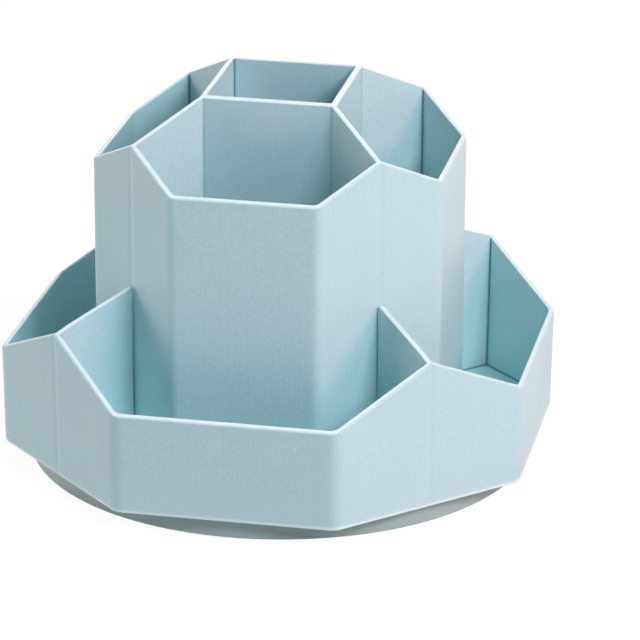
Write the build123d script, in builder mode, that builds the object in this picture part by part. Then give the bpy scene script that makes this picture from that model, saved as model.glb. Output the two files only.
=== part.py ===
from build123d import *
import os
from math import cos, radians, tan

os.makedirs("parts", exist_ok=True)

# Rotating pen holder: an octagonal tray of four compartments turns on a round base, and carries a
# taller octagonal tower of five cells. Lengths are in millimetres, z = 0 is the desk, and the front
# is the -Y side. Both octagons have their flats square to X and Y and their dividers on the diagonals.

# The whole holder
total_height = 130.0
tray_across_flats = 178.0
tower_across_flats = 118.2

# The tray's walls: the rim is lowest along the four straight sides and peaks over the four dividers.
# The dividers' tops rise on from there to the tower, at a gentler slope.
tray_rim_low = 41.0
tray_rim_peak = 57.6
divider_top_at_tower = 68.8
divider_bend_inset = 2.0
tray_wall = 2.0
tray_corner_radius = 6.0
tray_draft_angle = 0.8
divider_thickness = 2.0
tray_floor_thickness = 1.7
skirt_drop = 0.5
skirt_rounding = 0.4

# The tower's walls: its rim falls from the square centre cell to the four straight sides
tower_rim_low = 106.2
tower_wall = 2.0
tower_corner_radius = 5.0
centre_cell_width = 42.0
cell_wall = 2.0
tower_floor_thickness = 1.8
tower_floor_space = 2.4
rim_rounding = 0.5

# The round base
base_inset = 3.0
base_lean = 0.6
base_height = 6.3
base_lip = 1.9
base_wall = 2.0
base_web_thickness = 2.0
base_edge_bevel = 0.6
rib_count = 12
rib_thickness = 1.2
rib_inset = 0.4

# Rubber feet in sockets under the base
foot_count = 6
foot_inset = 14.0
foot_radius = 6.0
foot_proud = 0.6
foot_bevel = 0.4
socket_clearance = 0.15
socket_wall = 1.2

# The ball bearing between base and tray
ball_count = 8
ball_diameter = 4.0
ball_play = 0.05
track_radius = 45.0
race_depth = 0.6
cage_width = 8.0
cage_thickness = 1.2
pocket_clearance = 0.15

# The pivot: the tray's boss turns in the base's hub, held by a washer and a screw from below
boss_radius = 6.0
pivot_clearance = 0.06
pivot_end_play = 0.25
boss_above_floor = 2.0
hub_wall = 6.0
hub_height = 2.75
hub_recess_depth = 1.45
washer_radius = 7.5
washer_thickness = 0.8
washer_hole_clearance = 0.1
hub_recess_clearance = 1.0
pivot_screw_length = 7.0

# Screws: low round heads with a cross, self-tapping in plain holes
screw_radius = 1.45
screw_head_radius = 3.4
screw_head_height = 1.3
screw_head_bevel = 0.4
cross_length = 3.2
cross_width = 0.8
cross_depth = 0.7
pilot_clearance = 0.05
pilot_extra_depth = 0.2
tower_screw_count = 4
tower_screw_circle = 30.0
tower_screw_length = 5.0
tower_boss_radius = 3.5

# How the tower sits in the tray
fit_gap = 0.15
divider_gap = 0.6
locating_rib_thickness = 1.2
locating_rib_height = 1.5

# Heights, from the desk up
base_bottom = foot_proud
base_top = base_bottom + base_height
web_top = base_top - base_lip
web_bottom = web_top - base_web_thickness
ball_radius = ball_diameter / 2
race_radius = ball_radius + ball_play
ball_centre = web_top - race_depth + race_radius
floor_bottom = ball_centre + race_radius - race_depth
floor_top = floor_bottom + tray_floor_thickness
skirt_bottom = floor_bottom - skirt_drop
tower_floor_bottom = floor_top + tower_floor_space
tower_floor_top = tower_floor_bottom + tower_floor_thickness
hub_bottom = web_bottom + hub_recess_depth
hub_top = hub_bottom + hub_height
boss_bottom = hub_bottom - pivot_end_play
boss_top = floor_top + boss_above_floor
washer_bottom = boss_bottom - washer_thickness

# Half widths and rim slopes
tray_apothem = tray_across_flats / 2
tower_apothem = tower_across_flats / 2
diagonal = cos(radians(45))
crown_half = centre_cell_width / 2 + cell_wall / 2
tray_slope = (tray_rim_peak - tray_rim_low) / (tray_apothem * (1 - diagonal))
tower_slope = (total_height - tower_rim_low) / (tower_apothem - crown_half)
divider_start = tower_apothem + divider_gap
bend_half = (tray_apothem - tray_wall) * diagonal - divider_bend_inset
bend_height = tray_rim_low + tray_slope * (tray_apothem - bend_half)
divider_slope = (divider_top_at_tower - bend_height) / (bend_half - divider_start * diagonal)
tray_blank_top = divider_top_at_tower + 1.0
base_foot_radius = tray_apothem - base_inset
foot_circle_radius = base_foot_radius - foot_inset
hub_bore_radius = boss_radius + pivot_clearance
hub_radius = hub_bore_radius + hub_wall
hub_recess_radius = washer_radius + hub_recess_clearance
pilot_radius = screw_radius + pilot_clearance


def octagon(apothem, corner_radius, height=0.0):
    """A regular octagon with flats square to X and Y and rounded corners."""
    with BuildSketch(Plane.XY.offset(height)) as plan:
        RegularPolygon(apothem, 8, major_radius=False, rotation=22.5)
        fillet(plan.vertices(), corner_radius)
    return plan.sketch


def tray_block(bottom, top, inset):
    """The tray's octagon between two heights, drawn in by an inset and leaning out a little for draft."""
    lean = tan(radians(tray_draft_angle))
    apothem = tray_apothem - (tray_rim_low - bottom) * lean - inset
    with BuildPart() as block:
        extrude(octagon(apothem, tray_corner_radius - inset, bottom), amount=top - bottom, taper=-tray_draft_angle)
    return block.part


def roof(bottom, top, low_half, low_height, slope):
    """The space under a four-sided roof that is low_half from the middle at low_height."""
    bottom_half = low_half + (low_height - bottom) / slope
    top_half = low_half + (low_height - top) / slope
    with BuildPart() as space:
        for plane, mode in ((Plane.XZ, Mode.ADD), (Plane.YZ, Mode.INTERSECT)):
            with BuildSketch(plane):
                with BuildLine():
                    Polyline(
                        (-bottom_half, bottom),
                        (bottom_half, bottom),
                        (top_half, top),
                        (-top_half, top),
                        close=True,
                    )
                make_face()
            extrude(amount=bottom_half, both=True, mode=mode)
    return space.part


def base_side(height):
    """The base's outer radius at a height, on a side that leans in as it rises."""
    return base_foot_radius - base_lean * (height - base_bottom) / base_height


def rim_edges(piece, above):
    """The edges between the walls and every face that looks up from higher than the given height."""
    tops = [face for face in piece.faces() if face.normal_at().Z > 0.1 and face.center().Z > above]
    edges = [edge for face in tops for edge in face.edges()]
    return [edge for edge in edges if edges.count(edge) == 1]


def diagonal_walls(inner_radius, outer_radius, thickness):
    """Four straight walls in plan, one along each diagonal."""
    with BuildSketch() as plan:
        with PolarLocations((inner_radius + outer_radius) / 2, 4, start_angle=45):
            Rectangle(outer_radius - inner_radius, thickness)
    return plan.sketch


def ball_track():
    """The ring that a ball's race sweeps, to cut from both the tray and the base."""
    with BuildPart() as track:
        with BuildSketch(Plane.XZ):
            with Locations((track_radius, ball_centre)):
                Circle(race_radius)
        revolve(axis=Axis.Z)
    return track.part


def screw(head_bottom, length):
    """A screw that points up, with a cross in its low head."""
    with BuildPart() as fastener:
        with BuildSketch(Plane.XY.offset(head_bottom)):
            Circle(screw_head_radius)
        extrude(amount=screw_head_height)
        chamfer(fastener.edges().group_by(Axis.Z)[0], screw_head_bevel)
        with BuildSketch(Plane.XY.offset(head_bottom + screw_head_height)):
            Circle(screw_radius)
        extrude(amount=length)
        with BuildSketch(Plane.XY.offset(head_bottom)):
            Rectangle(cross_length, cross_width)
            Rectangle(cross_width, cross_length)
        extrude(amount=cross_depth, mode=Mode.SUBTRACT)
    return fastener.part


# Outer tray: octagonal wall, floor and four dividers in one moulding
with BuildPart() as outer_tray:
    add(tray_block(skirt_bottom, tray_blank_top, 0))
    add(tray_block(floor_top, tray_blank_top, tray_wall), mode=Mode.SUBTRACT)
    add(tray_block(skirt_bottom, floor_bottom, tray_wall), mode=Mode.SUBTRACT)
    with BuildSketch(Plane.XY.offset(floor_top)):
        add(diagonal_walls(divider_start, tray_apothem - tray_wall / 2, divider_thickness))
    extrude(amount=tray_blank_top - floor_top)
    add(roof(skirt_bottom, tray_blank_top, tray_apothem, tray_rim_low, tray_slope), mode=Mode.INTERSECT)
    add(roof(skirt_bottom, tray_blank_top, bend_half, bend_height, divider_slope), mode=Mode.INTERSECT)
    fillet(rim_edges(outer_tray, floor_top), min(rim_rounding, tray_wall / 3))
    fillet(outer_tray.faces().sort_by(Axis.Z)[0].outer_wire().edges(), skirt_rounding)

    # A low rib on the floor that the tower drops over
    rib_apothem = tower_apothem - tower_wall - fit_gap
    rib_corner = tower_corner_radius - tower_wall - fit_gap
    with BuildSketch(Plane.XY.offset(floor_top)):
        add(octagon(rib_apothem, rib_corner))
        add(octagon(rib_apothem - locating_rib_thickness, rib_corner), mode=Mode.SUBTRACT)
    extrude(amount=locating_rib_height)

    # The pivot boss, with a blind hole for its screw
    with BuildSketch(Plane.XY.offset(boss_bottom)):
        Circle(boss_radius)
    extrude(amount=boss_top - boss_bottom)
    with BuildSketch(Plane.XY.offset(boss_bottom)):
        Circle(pilot_radius)
    extrude(amount=pivot_screw_length - washer_thickness + pilot_extra_depth, mode=Mode.SUBTRACT)

    # Holes for the tower's screws
    with BuildSketch(Plane.XY.offset(floor_bottom)):
        with PolarLocations(tower_screw_circle, tower_screw_count):
            Circle(pilot_radius)
    extrude(amount=tray_floor_thickness, mode=Mode.SUBTRACT)
    add(ball_track(), mode=Mode.SUBTRACT)
outer_tray.part.label = "outer_tray"
export_step(outer_tray.part, "parts/outer_tray.step")

# Centre tower: octagonal wall round a square cell and four side cells, over a raised floor
with BuildPart() as centre_tower:
    with BuildSketch(Plane.XY.offset(floor_top)):
        add(octagon(tower_apothem, tower_corner_radius))
        add(octagon(tower_apothem - tower_wall, tower_corner_radius - tower_wall), mode=Mode.SUBTRACT)
    extrude(amount=total_height - floor_top)
    with BuildSketch(Plane.XY.offset(tower_floor_bottom)):
        add(octagon(tower_apothem - tower_wall / 2, tower_corner_radius - tower_wall / 2))
    extrude(amount=tower_floor_thickness)
    with BuildSketch(Plane.XY.offset(tower_floor_top)):
        Rectangle(centre_cell_width + 2 * cell_wall, centre_cell_width + 2 * cell_wall)
        add(diagonal_walls(crown_half / diagonal, tower_apothem - tower_wall / 2, cell_wall))
        Rectangle(centre_cell_width, centre_cell_width, mode=Mode.SUBTRACT)
    extrude(amount=total_height - tower_floor_top)
    add(roof(floor_top, total_height, tower_apothem, tower_rim_low, tower_slope), mode=Mode.INTERSECT)
    fillet(rim_edges(centre_tower, tower_floor_top), min(rim_rounding, tower_wall / 3))

    # Four bosses under the floor that take the screws
    with BuildSketch(Plane.XY.offset(floor_top)):
        with PolarLocations(tower_screw_circle, tower_screw_count):
            Circle(tower_boss_radius)
    extrude(amount=tower_floor_space)
    with BuildSketch(Plane.XY.offset(floor_top)):
        with PolarLocations(tower_screw_circle, tower_screw_count):
            Circle(pilot_radius)
    extrude(amount=tower_screw_length - tray_floor_thickness + pilot_extra_depth, mode=Mode.SUBTRACT)
centre_tower.part.label = "centre_tower"
export_step(centre_tower.part, "parts/centre_tower.step")

# Base dish: a shallow round dish with a hub, a ball track, ribs and foot sockets underneath
with BuildPart() as base_dish:
    with BuildSketch(Plane.XZ) as profile:
        with BuildLine():
            Polyline(
                (hub_bore_radius, hub_bottom),
                (hub_bore_radius, hub_top),
                (hub_radius, hub_top),
                (hub_radius, web_top),
                (base_side(web_top) - base_wall, web_top),
                (base_side(base_top) - base_wall, base_top),
                (base_side(base_top), base_top),
                (base_foot_radius, base_bottom),
                (base_foot_radius - base_wall, base_bottom),
                (base_side(web_bottom) - base_wall, web_bottom),
                (hub_recess_radius, web_bottom),
                (hub_recess_radius, hub_bottom),
                close=True,
            )
        make_face()
        chamfer(profile.vertices().group_by(Axis.X)[-1], base_edge_bevel)
    revolve(axis=Axis.Z)
    add(ball_track(), mode=Mode.SUBTRACT)

    # Radial ribs and a ring rib under the track stiffen the web
    rib_bottom = base_bottom + rib_inset
    rib_start = hub_recess_radius + rib_thickness
    rib_end = base_side(web_bottom) - base_wall / 2
    with BuildSketch(Plane.XY.offset(rib_bottom)):
        with PolarLocations((rib_start + rib_end) / 2, rib_count, start_angle=180 / rib_count):
            Rectangle(rib_end - rib_start, rib_thickness)
        Circle(track_radius + race_radius)
        Circle(track_radius - race_radius, mode=Mode.SUBTRACT)
    extrude(amount=web_bottom - rib_bottom)

    # Sockets for the feet
    with BuildSketch(Plane.XY.offset(rib_bottom)):
        with PolarLocations(foot_circle_radius, foot_count):
            Circle(foot_radius + socket_clearance + socket_wall)
            Circle(foot_radius + socket_clearance, mode=Mode.SUBTRACT)
    extrude(amount=web_bottom - rib_bottom)
base_dish.part.label = "base_dish"
export_step(base_dish.part, "parts/base_dish.step")

# Ball cage: a thin ring with one pocket for each ball
with BuildPart() as ball_cage:
    with BuildSketch(Plane.XY.offset(ball_centre - cage_thickness / 2)):
        Circle(track_radius + cage_width / 2)
        Circle(track_radius - cage_width / 2, mode=Mode.SUBTRACT)
        with PolarLocations(track_radius, ball_count):
            Circle(ball_radius + pocket_clearance, mode=Mode.SUBTRACT)
    extrude(amount=cage_thickness)
ball_cage.part.label = "ball_cage"
export_step(ball_cage.part, "parts/ball_cage.step")

# Bearing balls, one in each pocket of the cage
for number, place in enumerate(PolarLocations(track_radius, ball_count).locations, start=1):
    with BuildPart() as ball:
        with Locations((place.position.X, place.position.Y, ball_centre)):
            Sphere(ball_radius)
    ball.part.label = f"bearing_ball_{number}"
    export_step(ball.part, f"parts/{ball.part.label}.step")

# Pivot washer: carries the base's hub on the tray's boss
with BuildPart() as pivot_washer:
    with BuildSketch(Plane.XY.offset(washer_bottom)):
        Circle(washer_radius)
        Circle(screw_radius + washer_hole_clearance, mode=Mode.SUBTRACT)
    extrude(amount=washer_thickness)
pivot_washer.part.label = "pivot_washer"
export_step(pivot_washer.part, "parts/pivot_washer.step")

# Pivot screw: goes up through the washer into the boss
with BuildPart() as pivot_screw:
    add(screw(washer_bottom - screw_head_height, pivot_screw_length))
pivot_screw.part.label = "pivot_screw"
export_step(pivot_screw.part, "parts/pivot_screw.step")

# Tower screws: four alike, up through the tray's floor into the tower's bosses
with BuildPart() as tower_screws:
    with PolarLocations(tower_screw_circle, tower_screw_count):
        add(screw(floor_bottom - screw_head_height, tower_screw_length))
tower_screws.part.label = "tower_screws"
export_step(tower_screws.part, "parts/tower_screws.step")

# Rubber feet, one in each socket
foot_places = PolarLocations(foot_circle_radius, foot_count).locations
for number, place in enumerate(foot_places, start=1):
    with BuildPart() as foot:
        with BuildSketch(Plane.XY):
            with Locations((place.position.X, place.position.Y)):
                Circle(foot_radius)
        extrude(amount=web_bottom)
        chamfer(foot.edges().group_by(Axis.Z)[0], foot_bevel)
    foot.part.label = f"rubber_foot_{number}"
    export_step(foot.part, f"parts/{foot.part.label}.step")
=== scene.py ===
import bpy
from math import cos, hypot, radians, sin
from mathutils import Matrix, Vector


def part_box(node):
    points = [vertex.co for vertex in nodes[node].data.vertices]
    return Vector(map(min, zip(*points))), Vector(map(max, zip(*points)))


# A rotating pen holder: a pale blue octagonal tray and its taller tower turn together on a thin round
# base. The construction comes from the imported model. This script finishes each of its pieces, and
# sets up the floor, the light and the camera. Lengths are in metres, and the colours of the pieces go
# from 0 to 255.
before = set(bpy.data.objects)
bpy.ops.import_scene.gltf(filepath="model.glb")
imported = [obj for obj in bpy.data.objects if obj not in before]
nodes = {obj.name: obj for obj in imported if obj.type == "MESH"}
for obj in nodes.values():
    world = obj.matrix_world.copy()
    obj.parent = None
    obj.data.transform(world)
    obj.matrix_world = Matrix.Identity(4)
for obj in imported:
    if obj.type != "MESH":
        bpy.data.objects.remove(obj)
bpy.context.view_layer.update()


# The base is a shallow round dish, moulded in a slightly greyer blue than the tray, with ribs and a hub
# under its web. It lies still on the desk, and everything above it turns on the ball track in its top.
MM = 0.001
BASE_LIGHT, BASE_DARK = (168, 191, 190), (162, 186, 185)
# The crease colour is painted shade for the creases, and the edge colour a painted highlight on the edges.
BASE_CREASE_SHADE, BASE_EDGE_HIGHLIGHT = (96, 126, 125), (206, 224, 224)
BASE_ROUGHNESS = 0.42
NOISE_LOW, NOISE_HIGH = 0.3, 0.7
CLOUD_SIZE = 35 * MM
CLOUD_DETAIL = 3
CLOUD_POLISHED, CLOUD_DULL = -0.04, 0.05
GRAIN_SIZE = 0.55 * MM
GRAIN_DETAIL = 2
GRAIN_DEPTH = 0.05 * MM
GRAIN_CONTRAST = 0.12
CREASE_REACH = 1.0 * MM
CREASE_SHUT, CREASE_OPEN = 0.65, 0.97
CREASE_STRENGTH = 0.8
EDGE_REACH = 0.4 * MM
EDGE_SHARP, EDGE_FLAT = 0.3, 0.7
EDGE_SHINE = 0.2
NEARBY_SAMPLES = 8


def screen_colour(colour):
    """A colour as the screen shows it, from 0 to 255, turned into the linear numbers of a shader."""
    linear = [c / 255 / 12.92 if c < 10.3 else ((c / 255 + 0.055) / 1.055) ** 2.4 for c in colour]
    return (*linear, 1)


def step(tree, kind, inputs, **settings):
    """Adds one step to a material. Each input is a value, or the outcome of an earlier step."""
    node = tree.nodes.new("ShaderNode" + kind)
    for key, value in settings.items():
        setattr(node, key, value)
    for key, value in inputs.items():
        if isinstance(value, bpy.types.NodeSocket):
            tree.links.new(value, node.inputs[key])
        else:
            node.inputs[key].default_value = value
    return node


def combine(tree, first, second, work="ADD"):
    """Adds two values, or does other work on them."""
    return step(tree, "Math", {0: first, 1: second}, operation=work).outputs[0]


def spread(tree, value, low, high, new_low, new_high):
    """Carries the range from low to high over to a new one, and stops at its ends."""
    ends = {"From Min": low, "From Max": high, "To Min": new_low, "To Max": new_high}
    return step(tree, "MapRange", {"Value": value, **ends}, clamp=True).outputs["Result"]


def noise(tree, place, size, detail):
    """Soft random spots of about one size, with smaller ones in them."""
    spots = step(tree, "TexNoise", {"Vector": place, "Scale": 1 / size, "Detail": detail})
    return spots.outputs["Fac"]


def openness(tree, reach, inside=False):
    """How open the surface is within a short reach: 1 on a flat face, less in a crease or at an edge."""
    settings = {"samples": NEARBY_SAMPLES, "only_local": True, "inside": inside}
    return step(tree, "AmbientOcclusion", {"Distance": reach}, **settings).outputs["AO"]


def laid_over(tree, share, under, over, way="MIX"):
    """Lays one colour over another, by a share from 0 to 1."""
    inputs = {"Fac": share, "Color1": under, "Color2": over}
    return step(tree, "MixRGB", inputs, blend_type=way).outputs[0]


def colour_by(tree, shader, colour):
    """Gives the shader a colour that changes over the surface."""
    tree.links.new(colour, shader.inputs["Base Color"])


def raise_by(tree, shader, height, depth=1):
    """Gives the shader a fine relief, whose height times the depth is in metres."""
    bump = step(tree, "Bump", {"Height": height, "Distance": depth, "Strength": 1})
    tree.links.new(bump.outputs["Normal"], shader.inputs["Normal"])


def new_material(name, roughness):
    """A material with one plain shader, and the place on the piece that its pattern follows."""
    material = bpy.data.materials.new(name)
    material.use_nodes = True
    tree = material.node_tree
    shader = tree.nodes["Principled BSDF"]
    shader.inputs["Roughness"].default_value = roughness
    place = step(tree, "TexCoord", {}).outputs["Object"]
    return material, tree, shader, place


def moulded(tree, shader, place, colours, roughness, painted_highlight=0, relief=0):
    """A moulded skin: faintly clouded and grained, with painted shade darkening its creases, and a painted
    highlight, paler and a little shinier, on its edges and on any further places passed in.
    """
    light, dark, crease_shade, highlight_colour = [screen_colour(colour) for colour in colours]
    clouds = noise(tree, place, CLOUD_SIZE, CLOUD_DETAIL)
    grain = noise(tree, place, GRAIN_SIZE, GRAIN_DETAIL)
    skin = laid_over(tree, spread(tree, clouds, NOISE_LOW, NOISE_HIGH, 0, 1), light, dark)
    grained = spread(tree, grain, NOISE_LOW, NOISE_HIGH, 1 - GRAIN_CONTRAST, 1)
    skin = laid_over(tree, 1, skin, grained, "MULTIPLY")

    # Painted shade: the creases are darkened towards the crease colour.
    crease_shade_share = spread(tree, openness(tree, CREASE_REACH), CREASE_SHUT, CREASE_OPEN, CREASE_STRENGTH, 0)
    skin = laid_over(tree, crease_shade_share, skin, crease_shade)
    # Painted highlight: the edges, and any further places passed in, are paled towards the highlight
    # colour and made a little shinier.
    edge_highlight = spread(tree, openness(tree, EDGE_REACH, inside=True), EDGE_SHARP, EDGE_FLAT, 1, 0)
    highlight_share = combine(tree, edge_highlight, painted_highlight, "MAXIMUM")
    colour_by(tree, shader, laid_over(tree, highlight_share, skin, highlight_colour))

    polished, dull = roughness + CLOUD_POLISHED, roughness + CLOUD_DULL
    matt = spread(tree, clouds, NOISE_LOW, NOISE_HIGH, polished, dull)
    matt = combine(tree, matt, combine(tree, highlight_share, EDGE_SHINE, "MULTIPLY"), "SUBTRACT")
    tree.links.new(matt, shader.inputs["Roughness"])
    grain_height = combine(tree, grain, GRAIN_DEPTH, "MULTIPLY")
    raise_by(tree, shader, combine(tree, grain_height, relief))


def finish(names, material):
    """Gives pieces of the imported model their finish."""
    for name in names:
        mesh = nodes[name].data
        mesh.materials.clear()
        mesh.materials.append(material)


base_plastic, tree, shader, place = new_material("base_plastic", BASE_ROUGHNESS)
base_colours = (BASE_LIGHT, BASE_DARK, BASE_CREASE_SHADE, BASE_EDGE_HIGHLIGHT)
moulded(tree, shader, place, base_colours, BASE_ROUGHNESS)
finish(["base_dish"], base_plastic)


# Six round pads of black rubber stop the base from sliding. Each is cut from sheet and pressed into a
# socket under the web, and stands out by half a millimetre.
FOOT_COUNT = 6
RUBBER_COLOUR = (46, 47, 48)
RUBBER_DUST = (78, 79, 79)
RUBBER_ROUGHNESS = 0.8
PORE_SIZE = 0.3 * MM
PORE_DETAIL = 4
PORE_DEPTH = 0.02 * MM
DUST_FROM, DUST_FULL, DUST_SHARE = 0.5, 0.75, 0.6
foot_rubber, tree, shader, place = new_material("foot_rubber", RUBBER_ROUGHNESS)
pores = noise(tree, place, PORE_SIZE, PORE_DETAIL)
dusty = spread(tree, pores, DUST_FROM, DUST_FULL, 0, DUST_SHARE)
colour_by(tree, shader, laid_over(tree, dusty, screen_colour(RUBBER_COLOUR), screen_colour(RUBBER_DUST)))
raise_by(tree, shader, pores, PORE_DEPTH)
finish([f"rubber_foot_{n + 1}" for n in range(FOOT_COUNT)], foot_rubber)


# The cage is a flat ring moulded in milky white plastic. It lies loose between the base and the tray,
# and its eight pockets keep the balls apart.
CAGE_LIGHT, CAGE_DARK = (228, 229, 222), (222, 223, 216)
# The crease colour is painted shade for the creases, and the edge colour a painted highlight on the edges.
CAGE_CREASE_SHADE, CAGE_EDGE_HIGHLIGHT = (190, 192, 184), (240, 240, 236)
CAGE_ROUGHNESS = 0.35
cage_plastic, tree, shader, place = new_material("cage_plastic", CAGE_ROUGHNESS)
cage_colours = (CAGE_LIGHT, CAGE_DARK, CAGE_CREASE_SHADE, CAGE_EDGE_HIGHLIGHT)
moulded(tree, shader, place, cage_colours, CAGE_ROUGHNESS)
finish(["ball_cage"], cage_plastic)


# Eight hardened steel balls, ground and polished bright, carry the tray round. Each has a thin film of
# grease, which makes it a little uneven in gloss.
BALL_COUNT = 8
STEEL_COLOUR = (204, 206, 208)
GREASE_COLOUR = (188, 187, 182)
STEEL_ROUGHNESS = 0.12
FILM_SIZE = 1.5 * MM
FILM_DETAIL = 3
FILM_THIN, FILM_THICK = 0.35, 0.65
THIN_ROUGHNESS, THICK_ROUGHNESS = 0.08, 0.24
ball_steel, tree, shader, place = new_material("ball_steel", STEEL_ROUGHNESS)
shader.inputs["Metallic"].default_value = 1
film = noise(tree, place, FILM_SIZE, FILM_DETAIL)
greasy = spread(tree, film, FILM_THIN, FILM_THICK, THIN_ROUGHNESS, THICK_ROUGHNESS)
tree.links.new(greasy, shader.inputs["Roughness"])
colour_by(tree, shader, laid_over(tree, film, screen_colour(STEEL_COLOUR), screen_colour(GREASE_COLOUR)))
finish([f"bearing_ball_{n + 1}" for n in range(BALL_COUNT)], ball_steel)


# The tray is one injection moulding of pale blue plastic: the eight leaning walls, the floor and the four
# dividers. Its rims and the foot of its skirt get a painted highlight, paler and a little shinier. Faint
# sink lines show on its outside where the dividers join the wall, and drawing it off its core leaves faint
# upright streaks.
TRAY_LIGHT, TRAY_DARK = (201, 241, 245), (197, 237, 242)
# The crease colour is painted shade for the creases, and the edge colour a painted highlight on the edges,
# rims and skirt foot.
TRAY_CREASE_SHADE, TRAY_HIGHLIGHT = (84, 140, 146), (228, 255, 255)
TRAY_ROUGHNESS = 0.35
RIM_LEAN = radians(32.6)
RIM_FROM, RIM_FULL = 0.84, 0.96
FLOORS_END, RIMS_START = 20 * MM, 22 * MM
SHOULDER_FROM, SHOULDER_TO = 0.4 * MM, 0.6 * MM
SKIRT_INSIDE = 80 * MM
SKIRT_HIGHLIGHT_FULL, SKIRT_HIGHLIGHT_END = 0.84 * MM, 1.4 * MM
SINK_HALF_WIDTH = 2.4 * MM
SINK_DEPTH = 0.2 * MM
UPRIGHT, TILTED = 0.1, 0.3
STREAK_WIDTH = 0.8 * MM
STREAK_LENGTH = 40 * MM
STREAK_DETAIL = 2
STREAK_DEPTH = 0.05 * MM


def unsigned(tree, value):
    """A value without its sign, so that what is said of one half holds for both."""
    return step(tree, "Math", {0: value}, operation="ABSOLUTE").outputs[0]


def times(tree, first, second):
    """Multiplies two values."""
    return combine(tree, first, second, "MULTIPLY")


blue_plastic, tree, shader, place = new_material("blue_plastic", TRAY_ROUGHNESS)
axes = step(tree, "SeparateXYZ", {"Vector": place}).outputs
facing = step(tree, "SeparateXYZ", {"Vector": step(tree, "TexCoord", {}).outputs["Normal"]}).outputs

# The rims get a painted highlight. Only they face up along the slopes of the crown, or straight up above
# the floors of the cells.
sideways = combine(tree, unsigned(tree, facing["X"]), unsigned(tree, facing["Y"]), "MAXIMUM")
sloping = times(tree, sideways, sin(RIM_LEAN))
sloping = combine(tree, sloping, times(tree, facing["Z"], cos(RIM_LEAN)))
rim_highlight = spread(tree, combine(tree, sloping, facing["Z"], "MAXIMUM"), RIM_FROM, RIM_FULL, 0, 1)
rim_highlight = times(tree, rim_highlight, spread(tree, axes["Z"], FLOORS_END, RIMS_START, 0, 1))

# The painted highlight stops short of the rounded shoulder at the outside of each octagon.
across, along = unsigned(tree, axes["X"]), unsigned(tree, axes["Y"])
slanting = times(tree, combine(tree, across, along), cos(radians(45)))
from_middle = combine(tree, combine(tree, across, along, "MAXIMUM"), slanting, "MAXIMUM")
for name in ("outer_tray", "centre_tower"):
    half_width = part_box(name)[1][0]
    inwards = unsigned(tree, combine(tree, from_middle, half_width, "SUBTRACT"))
    rim_highlight = times(tree, rim_highlight, spread(tree, inwards, SHOULDER_FROM, SHOULDER_TO, 0, 1))

# A painted highlight along the foot of the skirt.
skirt = [v.co.z for v in nodes["outer_tray"].data.vertices if hypot(v.co.x, v.co.y) > SKIRT_INSIDE]
skirt_foot = min(skirt)
skirt_foot_highlight = spread(tree, axes["Z"], skirt_foot + SKIRT_HIGHLIGHT_FULL, skirt_foot + SKIRT_HIGHLIGHT_END, 1, 0)
painted_highlight = combine(tree, rim_highlight, skirt_foot_highlight, "MAXIMUM")

# The sink lines run up the walls, over the ends of the dividers.
from_divider = unsigned(tree, combine(tree, across, along, "SUBTRACT"))
sink = spread(tree, from_divider, 0, SINK_HALF_WIDTH, -SINK_DEPTH, 0)
sink = times(tree, sink, spread(tree, facing["Z"], UPRIGHT, TILTED, 1, 0))
drawing = (1 / STREAK_WIDTH, 1 / STREAK_WIDTH, 1 / STREAK_LENGTH)
drawn = step(tree, "VectorMath", {0: place, 1: drawing}, operation="MULTIPLY").outputs[0]
streaks = times(tree, noise(tree, drawn, 1, STREAK_DETAIL), STREAK_DEPTH)
tray_colours = (TRAY_LIGHT, TRAY_DARK, TRAY_CREASE_SHADE, TRAY_HIGHLIGHT)
moulded(tree, shader, place, tray_colours, TRAY_ROUGHNESS, painted_highlight, combine(tree, streaks, sink))
finish(["outer_tray"], blue_plastic)


# The tower is a second moulding of the same plastic, with a square cell in the middle and four around
# it. It drops over a low rib on the tray's floor, and its rims get the same painted highlight as the
# tray's.
finish(["centre_tower"], blue_plastic)


# Bright zinc-plated screws hold it all from below: four short ones draw the tower onto the tray, and
# one in the middle holds a washer, and with it the base's hub, on the tray's boss.
ZINC_COLOUR = (196, 199, 203)
ZINC_PATCH = (168, 170, 176)
ZINC_ROUGHNESS = 0.3
PATCH_SIZE = 0.8 * MM
PATCH_POLISHED, PATCH_DULL = 0.22, 0.4
zinc_plate, tree, shader, place = new_material("zinc_plate", ZINC_ROUGHNESS)
shader.inputs["Metallic"].default_value = 1
patches = step(tree, "TexVoronoi", {"Vector": place, "Scale": 1 / PATCH_SIZE}).outputs["Distance"]
colour_by(tree, shader, laid_over(tree, patches, screen_colour(ZINC_COLOUR), screen_colour(ZINC_PATCH)))
tree.links.new(spread(tree, patches, 0, 1, PATCH_POLISHED, PATCH_DULL), shader.inputs["Roughness"])
finish(["tower_screws", "pivot_washer", "pivot_screw"], zinc_plate)


# The holder stands on a plain white sweep of matt paper. The sweep is so evenly lit that the camera sees
# it as white, with only the holder's soft shadow on it. To the light it is a plain pale grey.
SWEEP_SIZE = 8.0
SWEEP_COLOUR = (206, 206, 206)
SWEEP_ROUGHNESS = 0.9
SWEEP_GLOW = 0.75
SWEEP_STRENGTH = 1.24
WHITE = (1, 1, 1, 1)
bpy.ops.mesh.primitive_plane_add(size=SWEEP_SIZE)
floor = bpy.context.object
floor.name = "floor"
sweep, tree, shader, place = new_material("white_sweep", SWEEP_ROUGHNESS)
shader.inputs["Base Color"].default_value = screen_colour(SWEEP_COLOUR)
path = step(tree, "LightPath", {}).outputs
strength = spread(tree, path["Is Camera Ray"], 0, 1, 1, SWEEP_STRENGTH)
glow = step(tree, "Emission", {"Color": WHITE, "Strength": strength})
seen = times(tree, path["Is Camera Ray"], SWEEP_GLOW)
mirrored = combine(tree, path["Is Glossy Ray"], path["Is Transmission Ray"], "MAXIMUM")
share = combine(tree, seen, mirrored, "MAXIMUM")
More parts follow.
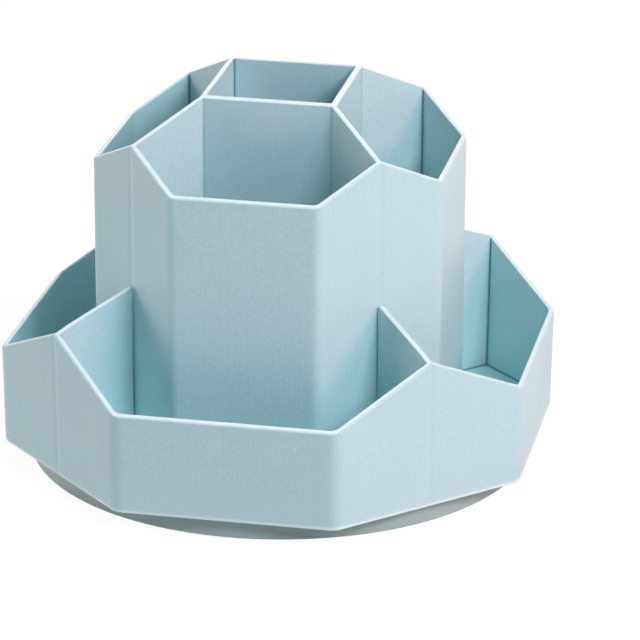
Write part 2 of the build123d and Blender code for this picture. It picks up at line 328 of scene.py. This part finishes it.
blend = step(tree, "MixShader", {0: share, 1: shader.outputs[0], 2: glow.outputs[0]})
tree.links.new(blend.outputs[0], tree.nodes["Material Output"].inputs["Surface"])
floor.data.materials.append(sweep)


# Six soft lamps stand around the holder, as in a small studio. The key lamp is high on the right, so the
# right sides are the brightest, and the others fill in. The room itself gives no light, and shows white
# to the camera and in reflections.
LIT_POINT = Vector((0, 0, 0.06))


def softbox(name, place, size, power, colour):
    """A square soft lamp that faces the holder."""
    light = bpy.data.lights.new(name, "AREA")
    light.size = size
    light.energy = power
    light.color = colour
    lamp = bpy.data.objects.new(name, light)
    lamp.location = place
    lamp.rotation_euler = (LIT_POINT - lamp.location).to_track_quat("-Z", "Y").to_euler()
    bpy.context.scene.collection.objects.link(lamp)


softbox("key", place=(0.95, -0.75, 1.1), size=0.5, power=14.2, colour=(1.0, 1.0, 1.085))
softbox("right_fill", place=(1.3, -0.35, 0.6), size=0.5, power=3.8, colour=(2.0, 1.0, 0.9))
softbox("left_fill", place=(-1.5, -0.1, 0.3), size=1.0, power=11.0, colour=(1.17, 1.0, 0.99))
softbox("front_fill", place=(0.1, -1.6, 0.12), size=0.6, power=1.6, colour=(0.6, 1.0, 1.1))
softbox("back_fill", place=(-0.2, 1.6, 0.35), size=1.2, power=5.2, colour=(0.95, 1.0, 1.0))
softbox("top", place=(-0.25, 0.0, 1.5), size=0.5, power=2.9, colour=(1.0, 1.0, 1.0))
world = bpy.data.worlds.new("studio")
bpy.context.scene.world = world
world.use_nodes = True
tree = world.node_tree
room = tree.nodes["Background"]
room.inputs["Color"].default_value = WHITE
path = step(tree, "LightPath", {}).outputs
seen = combine(tree, path["Is Camera Ray"], path["Is Glossy Ray"], "MAXIMUM")
seen = combine(tree, seen, path["Is Transmission Ray"], "MAXIMUM")
tree.links.new(seen, room.inputs["Strength"])


# The camera looks down at the holder from the front, and from a little right of the middle. It stands
# more than a metre away, with a long lens, and is turned slightly about its own line of sight.
CAMERA_PLACE = (0.255705, -1.208511, 0.516888)
CAMERA_SIDE = radians(11.3347)
CAMERA_LIFT = radians(20.9332)
CAMERA_TILT = radians(0.2895)
FOCAL_PIXELS = 3872.8
FRAME_PIXELS = 640
SENSOR_WIDTH = 36
flat = cos(CAMERA_LIFT)
back = Vector((sin(CAMERA_SIDE) * flat, -cos(CAMERA_SIDE) * flat, sin(CAMERA_LIFT)))
right = Vector((cos(CAMERA_SIDE), sin(CAMERA_SIDE), 0))
up = back.cross(right)
tilted_right = right * cos(CAMERA_TILT) + up * sin(CAMERA_TILT)
tilted_up = up * cos(CAMERA_TILT) - right * sin(CAMERA_TILT)
camera_data = bpy.data.cameras.new("camera")
camera_data.sensor_width = SENSOR_WIDTH
camera_data.lens = FOCAL_PIXELS * SENSOR_WIDTH / FRAME_PIXELS
camera = bpy.data.objects.new("camera", camera_data)
turn = Matrix((tilted_right, tilted_up, back)).transposed().to_4x4()
camera.matrix_world = Matrix.Translation(CAMERA_PLACE) @ turn
bpy.context.scene.collection.objects.link(camera)
bpy.context.scene.camera = camera
bpy.context.scene.view_settings.view_transform = "Standard"
